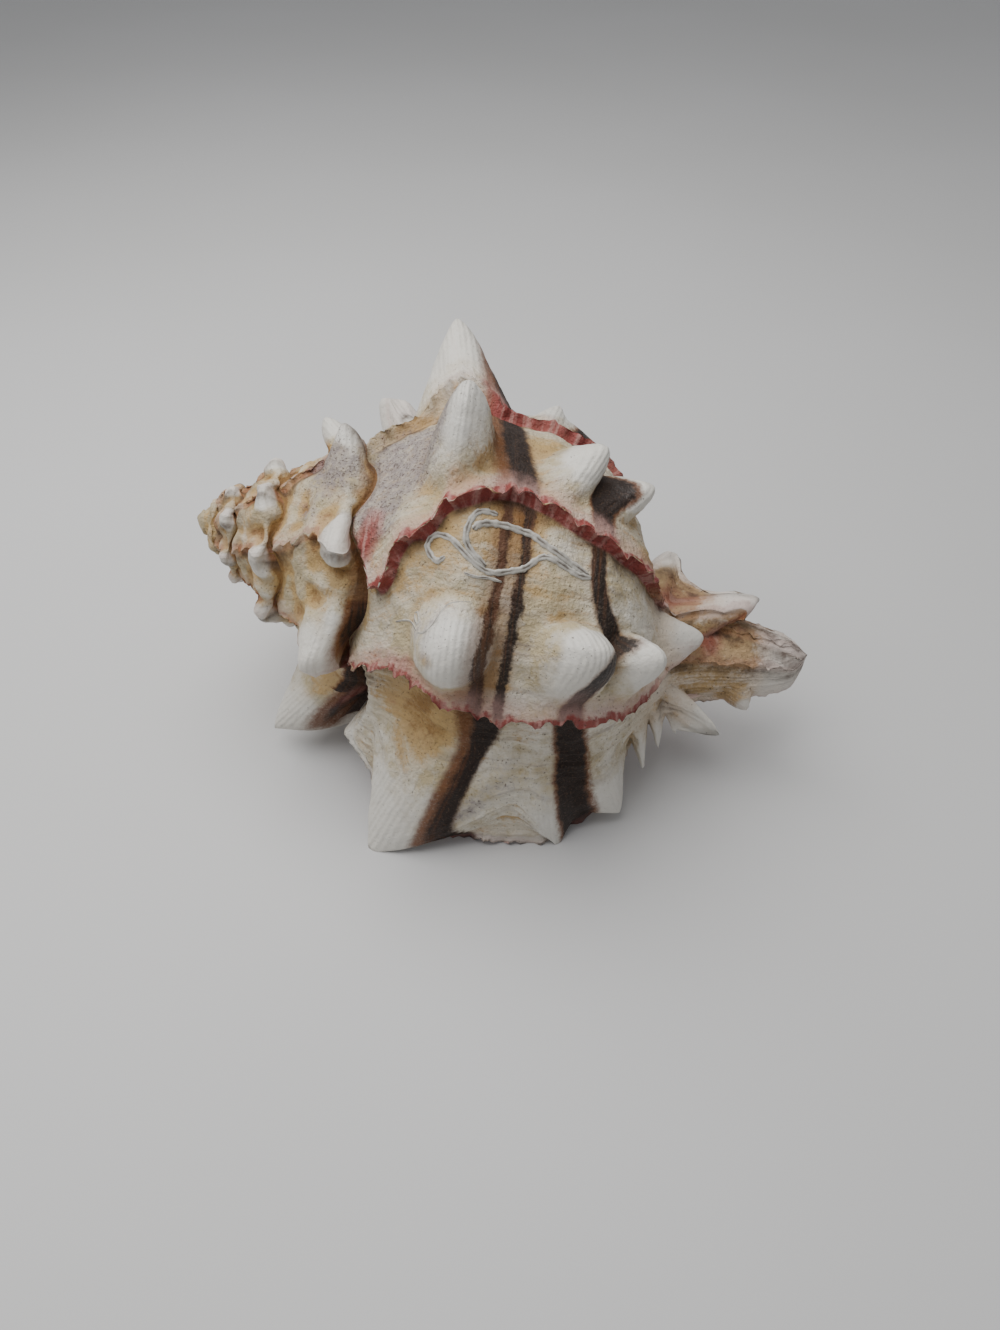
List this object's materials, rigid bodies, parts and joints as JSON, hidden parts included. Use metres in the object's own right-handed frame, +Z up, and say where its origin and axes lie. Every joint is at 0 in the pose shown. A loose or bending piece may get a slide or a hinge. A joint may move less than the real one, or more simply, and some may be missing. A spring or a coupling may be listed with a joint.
{
  "type": "murex shell",
  "caption": "Dried sea snail shell with frilled ridges, blunt spines, a short spire and a tapering siphonal canal, lying mouth down",
  "frame": {"origin": "middle of the box at the floor that the shell rests on, under its lowest points", "axes": "+X runs from the spire to the tip of the siphonal canal, +Z is up, the mouth faces down and to +Y"},
  "size_m": [0.1166, 0.0854, 0.0737],
  "materials": {
    "chalky_shell": "chalky cream calcium carbonate with ochre and brown stains, semi-matte, glossier on the spines"
  },
  "bodies": {
    "root": {"murex_shell": "chalky_shell"}
  },
  "joints": []
}
